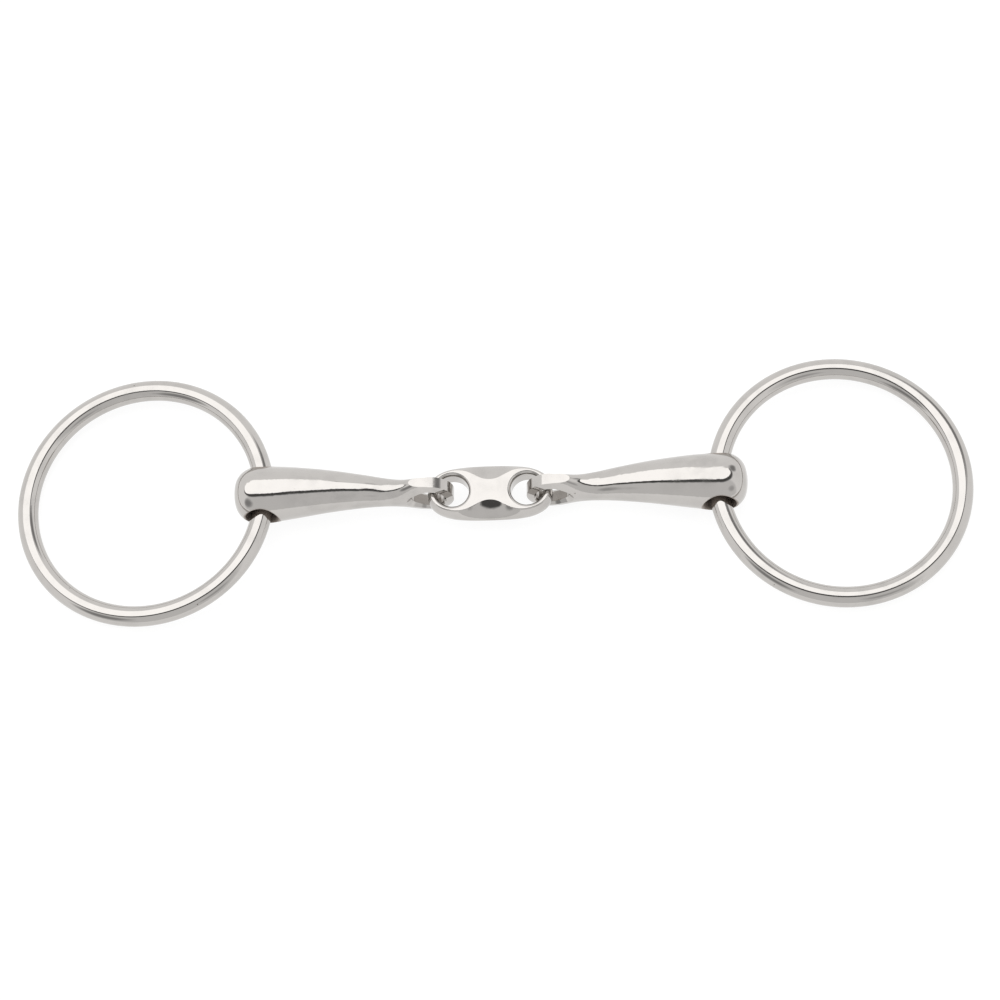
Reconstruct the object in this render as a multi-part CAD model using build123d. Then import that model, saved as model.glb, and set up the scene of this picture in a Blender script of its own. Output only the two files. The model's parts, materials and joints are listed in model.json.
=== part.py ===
from build123d import *
import math
import os

# Loose-ring snaffle bit with a lozenge centre link, as five separate solids in one shared frame.
# Units are millimetres. X runs along the mouthpiece, Y along the ring holes, +Z is up.
# The origin is on the table the bit lies on, under the middle of the centre link.

# Rings, bent from round bar
WIRE_RADIUS = 3.0
RING_RADIUS = 35.5          # centre of the ring to the middle of the bar

# Ring hole through the butt end of each cannon
HOLE_X = 66.5               # distance of the hole axis from the middle of the bit
HOLE_RADIUS = 4.25
HOLE_MOUTH_RADIUS = 5.4
HOLE_FLARE_DEPTH = 3.6      # how far in from the widest part of the butt the mouth starts to open
RING_OFFSET = 0.3           # the bar sits this much inward, so its curve clears both mouths of the hole

# Butt end of each cannon
BUTT_RADIUS = 8.3
BUTT_DOME_LENGTH = 8.2
BUTT_DOME_SQUARENESS = 2.55  # 2 is a hemisphere, more is a flatter dome

# Eye loop at the inner end of each cannon
LOOP_X = 17.6               # centre of the loop's round end, also the axis the cannon folds about
LOOP_Z = 7.15
LOOP_HALF_HEIGHT = 7.0
LOOP_HALF_WIDTH = 2.85
NECK_X = 27.0               # where the loop has fully turned into the tapering bar
EYE_RADIUS = 4.3            # opening, at its round end
EYE_NECK_RADIUS = 2.8       # opening, at the end next to the neck
EYE_NECK_X = 20.2
EYE_BEVEL_START = 1.6       # how far from the middle plane the edges begin to open
EYE_BEVEL_LENGTH = 2.5
EYE_BEVEL_ANGLE = 40.0

# How the loose pieces lie: each cannon is rolled a little about its own length and swung a little
# about its ring hole, and the link lies off the middle of the loops, on their front side.
CANNON_ROLL = 6.0
CANNON_SWING = 0.5
LINK_Y = -1.1

# Cannon between loop and butt: distance from the middle, centre height, half height, half width.
# The loop's ovals stand taller than the loop, because its top and bottom are cut flat afterwards.
CANNON_STATIONS = [
    (LOOP_X, LOOP_Z, 8.6, LOOP_HALF_WIDTH),
    (21.5, 7.2, 7.8, 2.9),
    (26.0, 7.6, 5.4, 3.5),
    (30.5, 8.3, 4.3, 4.1),
    (37.0, 9.2, 4.9, 4.9),
    (47.0, 9.7, 6.25, 6.25),
    (58.0, 9.1, 7.65, 7.65),
    (HOLE_X, BUTT_RADIUS, BUTT_RADIUS, BUTT_RADIUS),
]

# Centre link
LINK_HALF_LENGTH = 18.2
LINK_HALF_WIDTH = 8.4
LINK_HALF_THICKNESS = 3.35
LINK_SQUARENESS = 2.65
LINK_EYE_X = 10.85
LINK_EYE_WAIST_RADIUS = 4.75
LINK_EYE_EDGE_RADIUS = 1.2   # rounding where the eye rolls over into the flat faces
LINK_END_INSET = 1.0        # how far the flat face stays inside the outline at the two ends
LINK_WEB_INSET = 5.45       # the same beside the web, which makes the face narrow there
LINK_WEB_SPREAD = 6.4       # length over which the face narrows
LINK_FACE_ROUNDING = 0.6    # rounding between each flat face and the bulging sides

CANNON_STEPS = 18
OUTLINE_POINTS = 48
OVERSHOOT = 4.0             # how far cutting shapes run past the surface


def rounded_power(value, squareness):
    """Keeps the sign of a sine or cosine and raises its size, for rounded-square outlines."""
    return math.copysign(abs(value) ** (2.0 / squareness), value)


def cannon_shape(x):
    """Centre height, half height and half width of the cannon at one distance from the middle.

    A smooth curve through the rows of CANNON_STATIONS, level at the first and the last one.
    """
    last = len(CANNON_STATIONS) - 1
    index = 0
    while index < last - 1 and x > CANNON_STATIONS[index + 1][0]:
        index += 1
    start = CANNON_STATIONS[index]
    end = CANNON_STATIONS[index + 1]
    span = end[0] - start[0]
    share = (x - start[0]) / span
    values = []
    for column in (1, 2, 3):
        slope_start = 0.0
        slope_end = 0.0
        if index > 0:
            before = CANNON_STATIONS[index - 1]
            slope_start = (end[column] - before[column]) / (end[0] - before[0])
        if index + 1 < last:
            after = CANNON_STATIONS[index + 2]
            slope_end = (after[column] - start[column]) / (after[0] - start[0])
        rise = end[column] - start[column]
        blend = share * share * (3.0 - 2.0 * share)
        lead_in = share * (1.0 - share) ** 2 * span * slope_start
        lead_out = share * share * (share - 1.0) * span * slope_end
        values.append(start[column] + rise * blend + lead_in + lead_out)
    return values


def cannon_section(x):
    """Upright oval outline across the cannon at one distance from the middle."""
    centre_z, half_height, half_width = cannon_shape(x)
    across = Plane((x, 0, centre_z), x_dir=(0, 1, 0), z_dir=(1, 0, 0))
    right_half = EllipticalCenterArc((0, 0), half_width, half_height, start_angle=-90, arc_size=180)
    left_half = EllipticalCenterArc((0, 0), half_width, half_height, start_angle=90, arc_size=180)
    return across * make_face([right_half, left_half])


def cannon_bar():
    """From the butt, over the slight arch of the mouthpiece, through the waist into the eye loop."""
    sections = []
    for step in range(CANNON_STEPS + 1):
        x = HOLE_X + (LOOP_X - HOLE_X) * step / CANNON_STEPS
        sections.append(cannon_section(x))
    return loft(sections)


def butt_dome():
    """Flattened dome that closes the outer end of the cannon."""
    points = []
    steps = 8
    for step in range(steps + 1):
        angle = 0.5 * math.pi * step / steps
        x = HOLE_X + BUTT_DOME_LENGTH * rounded_power(math.sin(angle), BUTT_DOME_SQUARENESS)
        z = BUTT_RADIUS + BUTT_RADIUS * rounded_power(math.cos(angle), BUTT_DOME_SQUARENESS)
        points.append((x, 0, z))
    curve = Spline(*points, tangents=[(1, 0, 0), (0, 0, -1)])
    base = Line((HOLE_X, 0, BUTT_RADIUS), points[0])
    axis_line = Line(points[-1], (HOLE_X, 0, BUTT_RADIUS))
    profile = make_face([curve, base, axis_line])
    return revolve(profile, Axis((0, 0, BUTT_RADIUS), (1, 0, 0)), 360)


def loop_end():
    """Round inner end of the eye loop: half of the last section turned about the folding axis."""
    upper_half = split(cannon_section(LOOP_X), bisect_by=Plane.XY.offset(LOOP_Z), keep=Keep.TOP)
    return revolve(upper_half, Axis((LOOP_X, 0, LOOP_Z), (0, -1, 0)), 180)


def loop_trim():
    """Everything above, below and inward of the loop's flat band, to be cut away."""
    length = NECK_X - LOOP_X + LOOP_HALF_HEIGHT + OVERSHOOT
    middle_x = NECK_X - 0.5 * length
    block = Pos(middle_x, 0, LOOP_Z) * Box(length, 4.0 * OVERSHOOT, 4.0 * LOOP_HALF_HEIGHT)
    band_length = NECK_X - LOOP_X
    band = Pos(LOOP_X + 0.5 * band_length, 0, LOOP_Z) * Box(
        band_length, 6.0 * OVERSHOOT, 2.0 * LOOP_HALF_HEIGHT
    )
    round_end = Pos(LOOP_X, 0, LOOP_Z) * Rot(90, 0, 0) * Cylinder(LOOP_HALF_HEIGHT, 6.0 * OVERSHOOT)
    return block - band - round_end


def eye_opening():
    """Opening of the loop, narrower towards the neck, with both of its edges bevelled."""
    tangent_angle = math.degrees(math.acos((EYE_RADIUS - EYE_NECK_RADIUS) / (EYE_NECK_X - LOOP_X)))
    wide_end = CenterArc((LOOP_X, LOOP_Z), EYE_RADIUS, tangent_angle, 360.0 - 2.0 * tangent_angle)
    neck_end = CenterArc((EYE_NECK_X, LOOP_Z), EYE_NECK_RADIUS, -tangent_angle, 2.0 * tangent_angle)
    upper_side = Line(wide_end @ 0, neck_end @ 1)
    lower_side = Line(wide_end @ 1, neck_end @ 0)
    outline = make_face([wide_end, upper_side, neck_end, lower_side])
    upright = Plane((0, 0, 0), x_dir=(1, 0, 0), z_dir=(0, -1, 0))
    bevel_start = Plane((0, -EYE_BEVEL_START, 0), x_dir=(1, 0, 0), z_dir=(0, -1, 0))
    opening = extrude(upright * outline, LOOP_HALF_WIDTH + OVERSHOOT, both=True)
    bevel = extrude(bevel_start * outline, EYE_BEVEL_LENGTH, taper=-EYE_BEVEL_ANGLE)
    return opening + bevel + mirror(bevel, Plane.XZ)


def ring_hole():
    """Round hole along Y, opening smoothly at both mouths."""
    flare_start = BUTT_RADIUS - HOLE_FLARE_DEPTH
    outer = BUTT_RADIUS + OVERSHOOT
    half_profile = Polyline((0, 0), (HOLE_RADIUS, 0), (HOLE_RADIUS, flare_start))
    flare = Spline(
        (HOLE_RADIUS, flare_start),
        (HOLE_MOUTH_RADIUS, BUTT_RADIUS),
        tangents=[(0, 1), (1, 0.9)],
    )
    end_lines = Polyline((HOLE_MOUTH_RADIUS, BUTT_RADIUS), (HOLE_MOUTH_RADIUS + OVERSHOOT, outer), (0, outer), (0, 0))
    half = revolve(make_face([half_profile, flare, end_lines]), Axis.Y, 360)
    return Pos(HOLE_X, 0, BUTT_RADIUS) * (half + mirror(half, Plane.XZ))


def make_cannon():
    """Right-hand cannon: butt with its ring hole, tapering bar, and eye loop."""
    body = cannon_bar() + butt_dome() + loop_end()
    body -= loop_trim()
    body -= eye_opening()
    body -= ring_hole()
    to_hole = Pos(HOLE_X, 0, BUTT_RADIUS)
    rolled = Rot(-CANNON_ROLL, 0, 0) * to_hole.inverse() * body
    return to_hole * Rot(0, 0, CANNON_SWING) * rolled


def link_outline(z, inset_end, inset_web):
    """Oval outline of the link at one height, drawn in by different amounts at the ends and beside the web."""
    points = []
    for step in range(OUTLINE_POINTS):
        angle = 2.0 * math.pi * (step + 0.5) / OUTLINE_POINTS
        x = LINK_HALF_LENGTH * rounded_power(math.cos(angle), LINK_SQUARENESS)
        y = LINK_HALF_WIDTH * rounded_power(math.sin(angle), LINK_SQUARENESS)
        web_share = math.exp(-(x / LINK_WEB_SPREAD) ** 2)
        inset = inset_end + (inset_web - inset_end) * web_share
        points.append((
            x * (1.0 - inset_end / LINK_HALF_LENGTH),
            y * (1.0 - inset / LINK_HALF_WIDTH),
            z,
        ))
    return make_face(Spline(*points, periodic=True))


def link_eye():
    """Eye of the link: a round hole whose edges roll over smoothly into both flat faces."""
    mouth_radius = LINK_EYE_WAIST_RADIUS + LINK_EYE_EDGE_RADIUS
    roll_z = LINK_HALF_THICKNESS - LINK_EYE_EDGE_RADIUS
    top = LINK_HALF_THICKNESS + OVERSHOOT
    upper_roll = CenterArc((mouth_radius, roll_z), LINK_EYE_EDGE_RADIUS, 90, 90)
    lower_roll = CenterArc((mouth_radius, -roll_z), LINK_EYE_EDGE_RADIUS, 180, 90)
    wall = Line((LINK_EYE_WAIST_RADIUS, roll_z), (LINK_EYE_WAIST_RADIUS, -roll_z))
    rest = Polyline(
        (mouth_radius, LINK_HALF_THICKNESS),
        (mouth_radius, top),
        (0, top),
        (0, -top),
        (mouth_radius, -top),
        (mouth_radius, -LINK_HALF_THICKNESS),
    )
    return revolve(Plane.XZ * make_face([upper_roll, wall, lower_roll, rest]), Axis.Z, 360)


def make_link():
    """Lozenge with domed sides, two flat faces and an eye at each end."""
    body = loft([
        link_outline(-LINK_HALF_THICKNESS, LINK_END_INSET, LINK_WEB_INSET),
        link_outline(0, 0, 0),
        link_outline(LINK_HALF_THICKNESS, LINK_END_INSET, LINK_WEB_INSET),
    ])
    face_outlines = body.edges().group_by(Axis.Z)[0] + body.edges().group_by(Axis.Z)[-1]
    body = fillet(face_outlines, LINK_FACE_ROUNDING)
    body -= Pos(-LINK_EYE_X, 0, 0) * link_eye()
    body -= Pos(LINK_EYE_X, 0, 0) * link_eye()
    return Pos(0, LINK_Y, LOOP_Z) * body


def make_ring():
    """Right-hand ring, running through the hole and leaning down so its far side lies on the table."""
    drop = BUTT_RADIUS - WIRE_RADIUS
    lean = math.degrees(math.asin(drop / (2.0 * RING_RADIUS - RING_OFFSET)))
    ring = Pos(RING_RADIUS - RING_OFFSET, 0, 0) * Torus(RING_RADIUS, WIRE_RADIUS)
    return Pos(HOLE_X, 0, BUTT_RADIUS) * Rot(0, lean, 0) * ring


def left_of(shape):
    """Mirror image on the other side of the middle."""
    return mirror(shape, Plane.YZ)


os.makedirs("parts", exist_ok=True)
cannon = make_cannon()
ring = make_ring()
export_step(make_link(), "parts/centre_link.step")
export_step(cannon, "parts/cannon_right.step")
export_step(left_of(cannon), "parts/cannon_left.step")
export_step(ring, "parts/ring_right.step")
export_step(left_of(ring), "parts/ring_left.step")
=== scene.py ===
import json
import math

import bpy
from mathutils import Matrix, Vector

# Loose-ring snaffle bit in polished stainless steel, lying on a white light table.
# Everything is in metres, in the frame of the CAD model.

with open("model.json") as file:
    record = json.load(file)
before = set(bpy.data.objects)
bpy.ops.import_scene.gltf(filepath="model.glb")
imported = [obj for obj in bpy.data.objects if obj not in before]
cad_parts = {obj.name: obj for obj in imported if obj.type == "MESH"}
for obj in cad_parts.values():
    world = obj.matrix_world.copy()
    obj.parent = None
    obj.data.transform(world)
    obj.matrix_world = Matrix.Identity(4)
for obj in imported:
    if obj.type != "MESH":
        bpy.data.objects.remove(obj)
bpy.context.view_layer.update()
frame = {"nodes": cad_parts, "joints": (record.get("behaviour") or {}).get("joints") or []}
RING_HOLE = [joint["pos_m"] for joint in frame["joints"] if joint["name"] == "right_ring_swing"][0]

# Camera
CAMERA_AZIMUTH = 8.6        # degrees, seen slightly from the right
CAMERA_ELEVATION = 68.5
CAMERA_ROLL = -9.7
CAMERA_DISTANCE = 0.793
CAMERA_AIM = (-0.0024, 0.0004)          # how far right and up of the picture's middle the origin is seen
CAMERA_LENS = 97.2
CAMERA_SENSOR = 36.0
CAMERA_CLIP = (0.01, 50.0)

# Steel
STEEL_COLOUR = (0.515, 0.495, 0.475)
HAZE_BRIGHTNESS = 0.90      # how bright the haziest places are, next to clean steel
STEEL_ROUGHNESS = 0.05
HAZE_ROUGHNESS = 0.10       # how much rougher the haziest places are
HAZE_SCALE = (220.0, 220.0, 220.0)      # patterns per metre, along x, y and z
HAZE_LIMITS = (0.35, 0.70)  # how strong the haze pattern is where haze starts and where it is full
RUB_SCALE = (55.0, 90.0, 90.0)          # the haze only shows where the metal has been rubbed
RUB_LIMITS = (0.30, 0.65)   # the same for the rubbed places
WAVE_SIZE = 0.011           # metres from one hand-polishing wave to the next
WAVE_HEIGHT = 0.000045
LINE_SIZE = 0.0007          # spacing of the fine polishing lines
LINE_LENGTH = 0.02
LINE_HEIGHT = 0.0000012

# Small marks in the steel
PIT_SPACING = (0.007, 0.007, 0.007)     # between places where a pit can be, along x, y and z
PIT_RADIUS = 0.00028
NICK_SPACING = (0.030, 0.008, 0.008)    # the same for nicks, which this draws out along x
NICK_RADIUS = 0.00022
MARK_SHARE = 0.5                        # share of the possible pits and nicks that are really there
SHARE_SOFTNESS = 0.05                   # marks this close to that share are faint
MARK_DEPTH = 0.00012
MARK_COLOUR = (0.20, 0.18, 0.16)
MARK_ROUGHNESS = 0.45

# Painted shade inside the ring holes: a darker brown colour there stands in for the dim hole interiors, on a
# dull, less metallic surface
BORE_RADIUS = 0.0056
BORE_EDGE = 0.93            # where the painted shade is full, as a share of the radius
BORE_SHADE_COLOUR = (0.30, 0.26, 0.23)
BORE_ROUGHNESS = 0.42
BORE_METAL = 0.45

# Floor, lit from below
FLOOR_HALF_SIZE = 3.0
FLOOR_COLOUR = (0.20, 0.20, 0.20, 1.0)
FLOOR_GLOW = 0.86
FLOOR_ROUGHNESS = 0.9
FLOOR_SHINE = 0.1

# Brightness of the studio's walls
WALL_LEVEL = 1.10
# Patches of the walls: azimuth, angle from overhead, radius, edge softness (degrees), brightness
WALL_PATCHES = [
    (270.0, 62.0, 50.0, 6.0, 0.84),
    (45.0, 52.0, 10.0, 8.0, 0.30),
    (228.0, 65.0, 12.0, 9.0, 0.34),
    (305.0, 60.0, 8.0, 7.0, 0.55),
]
# Ovals on the ceiling, in units of its height: centre x and y, half x and y, edge softness, brightness.
# The first is the dark gap in front of the softbox, the second is the softbox.
CEILING_OVALS = [
    (-0.34, 0.20, 1.06, 0.72, 0.09, 0.10),
    (-0.40, 0.34, 0.92, 0.63, 0.02, 1.85),
]
LOWEST_CEILING = 0.02       # directions below this height see the far rim of the ceiling


def node_maker(tree):
    """Shorthand for adding nodes to one tree."""
    def add(kind, **settings):
        node = tree.nodes.new(kind)
        for name, value in settings.items():
            setattr(node, name, value)
        return node
    return add


def ramp(add, link, value, low, high, to_low=0.0, to_high=1.0):
    """Takes a value smoothly from to_low to to_high as it goes from low to high, and no further."""
    stretch = add("ShaderNodeMapRange", interpolation_type="SMOOTHSTEP")
    stretch.inputs["From Min"].default_value = low
    stretch.inputs["From Max"].default_value = high
    stretch.inputs["To Min"].default_value = to_low
    stretch.inputs["To Max"].default_value = to_high
    link(value, stretch.inputs["Value"])
    return stretch.outputs["Result"]


def constant(add, number):
    """A number, as a node output."""
    node = add("ShaderNodeValue")
    node.outputs["Value"].default_value = number
    return node.outputs["Value"]


def vector_step(add, link, operation, vector, amounts):
    """One arithmetic step on a direction or place, with a fixed second vector."""
    node = add("ShaderNodeVectorMath", operation=operation)
    node.inputs[1].default_value = amounts
    link(vector, node.inputs[0])
    return node


def noise(add, link, place, scale, detail):
    """Soft random pattern; the scale has one number per direction, in patterns per metre."""
    stretched = vector_step(add, link, "MULTIPLY", place, scale)
    texture = add("ShaderNodeTexNoise")
    texture.inputs["Scale"].default_value = 1.0
    texture.inputs["Detail"].default_value = detail
    link(stretched.outputs["Vector"], texture.inputs["Vector"])
    return texture.outputs["Fac"]


def bump(add, link, height, distance, before=None):
    """Raises the surface by the height pattern, on top of the bump given before it."""
    node = add("ShaderNodeBump")
    node.inputs["Distance"].default_value = distance
    link(height, node.inputs["Height"])
    if before is not None:
        link(before, node.inputs["Normal"])
    return node.outputs["Normal"]


def blend(add, link, first, second, share):
    """Mixes two colours; either one may be a plain colour or another node's colour."""
    mix = add("ShaderNodeMix", data_type="RGBA")
    for name, colour in (("A", first), ("B", second)):
        if isinstance(colour, tuple):
            mix.inputs[name].default_value = (*colour, 1.0)
        else:
            link(colour, mix.inputs[name])
    link(share, mix.inputs["Factor"])
    return mix.outputs["Result"]


def combine(add, link, operation, first, second):
    """One arithmetic step on two patterns."""
    node = add("ShaderNodeMath", operation=operation)
    link(first, node.inputs[0])
    link(second, node.inputs[1])
    return node.outputs["Value"]


def mark_pattern(add, link, place, spacing, radius):
    """1 in the middle of scattered pits or nicks, 0 everywhere else; long where the spacing is long."""
    per_metre = tuple(1.0 / value for value in spacing)
    stretched = vector_step(add, link, "MULTIPLY", place, per_metre)
    cells = add("ShaderNodeTexVoronoi")
    cells.inputs["Scale"].default_value = 1.0
    link(stretched.outputs["Vector"], cells.inputs["Vector"])
    size = radius / spacing[1]
    marks = ramp(add, link, cells.outputs["Distance"], size, 0.5 * size)
    shade = add("ShaderNodeSeparateColor")
    link(cells.outputs["Color"], shade.inputs["Color"])
    rest = 1.0 - MARK_SHARE
    chosen = ramp(add, link, shade.outputs["Red"], rest - SHARE_SOFTNESS, rest + SHARE_SOFTNESS)
    return combine(add, link, "MULTIPLY", marks, chosen)


def bore_pattern(add, link, place):
    """1 inside the two ring holes, 0 outside."""
    hole_x, _, hole_z = RING_HOLE
    mirror = add("ShaderNodeVectorMath", operation="ABSOLUTE")
    link(place, mirror.inputs[0])
    flatten = vector_step(add, link, "MULTIPLY", mirror.outputs["Vector"], (1.0, 0.0, 1.0))
    distance = vector_step(add, link, "DISTANCE", flatten.outputs["Vector"], (hole_x, 0.0, hole_z))
    return ramp(add, link, distance.outputs["Value"], BORE_RADIUS, BORE_EDGE * BORE_RADIUS)


def make_steel(name, line_scale, has_bore):
    """Hand-polished stainless steel: haze, slow waves, fine polishing lines, small pits and a few nicks."""
    material = bpy.data.materials.new(name)
    material.use_nodes = True
    tree = material.node_tree
    tree.nodes.clear()
    add = node_maker(tree)
    link = tree.links.new
    output = add("ShaderNodeOutputMaterial")
    shader = add("ShaderNodeBsdfPrincipled")
    link(shader.outputs["BSDF"], output.inputs["Surface"])
    place = add("ShaderNodeTexCoord").outputs["Object"]

    haze = noise(add, link, place, HAZE_SCALE, detail=4.0)
    rubs = noise(add, link, place, RUB_SCALE, detail=3.0)
    lines = noise(add, link, place, line_scale, detail=2.0)
    waves = noise(add, link, place, (1.0 / WAVE_SIZE,) * 3, detail=1.0)
    pits = mark_pattern(add, link, place, PIT_SPACING, PIT_RADIUS)
    nicks = mark_pattern(add, link, place, NICK_SPACING, NICK_RADIUS)
    marks = combine(add, link, "MAXIMUM", pits, nicks)

    haze_spots = ramp(add, link, haze, *HAZE_LIMITS)
    rubbed = ramp(add, link, rubs, *RUB_LIMITS)
    haze_share = combine(add, link, "MULTIPLY", haze_spots, rubbed)
    roughness = ramp(add, link, haze_share, 0.0, 1.0, STEEL_ROUGHNESS, STEEL_ROUGHNESS + HAZE_ROUGHNESS)
    dull = combine(add, link, "MULTIPLY", marks, constant(add, MARK_ROUGHNESS))
    hazy_colour = tuple(HAZE_BRIGHTNESS * value for value in STEEL_COLOUR)
    colour = blend(add, link, STEEL_COLOUR, hazy_colour, haze_share)
    colour = blend(add, link, colour, MARK_COLOUR, marks)
    if has_bore:
        # Painted shade: the colour inside the ring holes is darkened to stand in for their dim interiors
        bore = bore_pattern(add, link, place)
        colour = blend(add, link, colour, BORE_SHADE_COLOUR, bore)
        dull_bore = combine(add, link, "MULTIPLY", bore, constant(add, BORE_ROUGHNESS))
        dull = combine(add, link, "MAXIMUM", dull, dull_bore)
        link(ramp(add, link, bore, 0.0, 1.0, 1.0, BORE_METAL), shader.inputs["Metallic"])
    else:
        shader.inputs["Metallic"].default_value = 1.0
    link(combine(add, link, "MAXIMUM", roughness, dull), shader.inputs["Roughness"])
    link(colour, shader.inputs["Base Color"])

    normal = bump(add, link, waves, WAVE_HEIGHT)
    normal = bump(add, link, lines, LINE_HEIGHT, normal)
    normal = bump(add, link, marks, -MARK_DEPTH, normal)
    link(normal, shader.inputs["Normal"])
    return material


def make_floor_material():
    """White acrylic, lit from below, so that shadows on it are faint."""
    material = bpy.data.materials.new("light_table")
    material.use_nodes = True
    shader = material.node_tree.nodes["Principled BSDF"]
    shader.inputs["Roughness"].default_value = FLOOR_ROUGHNESS
    shader.inputs["Specular IOR Level"].default_value = FLOOR_SHINE
    shader.inputs["Base Color"].default_value = FLOOR_COLOUR
    shader.inputs["Emission Color"].default_value = (1.0, 1.0, 1.0, 1.0)
    shader.inputs["Emission Strength"].default_value = FLOOR_GLOW
    return material


def make_floor():
    """The large square that the bit lies on."""
    half = FLOOR_HALF_SIZE
    mesh = bpy.data.meshes.new("floor")
    corners = [(-half, -half, 0.0), (half, -half, 0.0), (half, half, 0.0), (-half, half, 0.0)]
    mesh.from_pydata(corners, [], [(0, 1, 2, 3)])
    floor = bpy.data.objects.new("floor", mesh)
    bpy.context.scene.collection.objects.link(floor)
    floor.data.materials.append(make_floor_material())


def direction(azimuth, from_zenith):
    """Unit vector towards a place in the studio; azimuth 0 is +X and 90 is +Y, in degrees."""
    turn = math.radians(azimuth)
    tilt = math.radians(from_zenith)
    return (math.cos(turn) * math.sin(tilt), math.sin(turn) * math.sin(tilt), math.cos(tilt))


def paint(add, link, current, mask, level):
    """Lays one brightness over the studio wherever the mask is 1."""
    mix = add("ShaderNodeMix", data_type="RGBA")
    mix.inputs["B"].default_value = (level, level, level, 1.0)
    link(mask, mix.inputs["Factor"])
    link(current, mix.inputs["A"])
    return mix.outputs["Result"]


def round_mask(add, link, toward, patch):
    """1 inside a round patch of the studio, 0 outside."""
    azimuth, from_zenith, size, softness = patch
    nearness = vector_step(add, link, "DOT_PRODUCT", toward, direction(azimuth, from_zenith))
    outer = math.cos(math.radians(size + softness))
    inner = math.cos(math.radians(max(size - softness, 0.0)))
    return ramp(add, link, nearness.outputs["Value"], outer, inner)


def oval_mask(add, link, ceiling, oval):
    """1 inside an oval on the studio's ceiling, 0 outside; sizes count the ceiling's height as 1."""
    centre_x, centre_y, half_x, half_y, softness = oval
    shift = vector_step(add, link, "SUBTRACT", ceiling, (centre_x, centre_y, 0.0))
    scale = vector_step(add, link, "MULTIPLY", shift.outputs["Vector"], (1.0 / half_x, 1.0 / half_y, 0.0))
    length = add("ShaderNodeVectorMath", operation="LENGTH")
    link(scale.outputs["Vector"], length.inputs[0])
    return ramp(add, link, length.outputs["Value"], 1.0 + softness, 1.0 - softness)


def ceiling_place(add, link, toward):
    """Where a direction meets a flat ceiling at height 1."""
    split = add("ShaderNodeSeparateXYZ")
    link(toward, split.inputs["Vector"])
    height = combine(add, link, "MAXIMUM", split.outputs["Z"], constant(add, LOWEST_CEILING))
    upward = add("ShaderNodeCombineXYZ")
    for axis in ("X", "Y", "Z"):
        link(height, upward.inputs[axis])
    place = add("ShaderNodeVectorMath", operation="DIVIDE")
    link(toward, place.inputs[0])
    link(upward.outputs["Vector"], place.inputs[1])
    return place.outputs["Vector"]


def make_studio():
    """White light tent seen from inside: a large softbox above, dimmer walls, and dark gaps between them."""
    world = bpy.data.worlds.new("studio")
    world.use_nodes = True
    bpy.context.scene.world = world
    tree = world.node_tree
    tree.nodes.clear()
    add = node_maker(tree)
    link = tree.links.new
    output = add("ShaderNodeOutputWorld")
    background = add("ShaderNodeBackground")
    link(background.outputs["Background"], output.inputs["Surface"])
    toward = add("ShaderNodeTexCoord").outputs["Generated"]
    ceiling = ceiling_place(add, link, toward)

    walls = add("ShaderNodeRGB")
    walls.outputs["Color"].default_value = (WALL_LEVEL, WALL_LEVEL, WALL_LEVEL, 1.0)
    current = walls.outputs["Color"]
    for *patch, level in WALL_PATCHES:
        current = paint(add, link, current, round_mask(add, link, toward, patch), level)
    for *oval, level in CEILING_OVALS:
        current = paint(add, link, current, oval_mask(add, link, ceiling, oval), level)
    link(current, background.inputs["Color"])


def make_camera():
    """Camera above the front of the bit, turned a little about its own axis."""
    azimuth = math.radians(CAMERA_AZIMUTH)
    elevation = math.radians(CAMERA_ELEVATION)
    roll = math.radians(CAMERA_ROLL)
    back = Vector((
        math.sin(azimuth) * math.cos(elevation),
        -math.cos(azimuth) * math.cos(elevation),
        math.sin(elevation),
    ))
    level_right = Vector((0.0, 0.0, 1.0)).cross(back).normalized()
    level_up = back.cross(level_right)
    right = math.cos(roll) * level_right + math.sin(roll) * level_up
    up = back.cross(right)
    place = back * CAMERA_DISTANCE - right * CAMERA_AIM[0] - up * CAMERA_AIM[1]
    data = bpy.data.cameras.new("camera")
    data.lens = CAMERA_LENS
    data.sensor_width = CAMERA_SENSOR
    data.clip_start, data.clip_end = CAMERA_CLIP
    camera = bpy.data.objects.new("camera", data)
    bpy.context.scene.collection.objects.link(camera)
    camera.matrix_world = Matrix.Translation(place) @ Matrix((right, up, back)).transposed().to_4x4()
    bpy.context.scene.camera = camera


def dress_in_steel():
    """Gives every piece its steel, with lines along the cannons and the link, but not along the rings."""
    fine = 1.0 / LINE_SIZE
    lengthwise = (1.0 / LINE_LENGTH, fine, fine)
    steels = {
        "cannon": make_steel("cannon_steel", lengthwise, True),
        "link": make_steel("link_steel", lengthwise, False),
        "ring": make_steel("ring_steel", (fine, fine, fine), False),
    }
    for name, node in frame["nodes"].items():
        for kind, steel in steels.items():
            if kind in name:
                node.data.materials.clear()
                node.data.materials.append(steel)


dress_in_steel()
make_floor()
make_studio()
make_camera()
bpy.context.scene.view_settings.view_transform = "Standard"
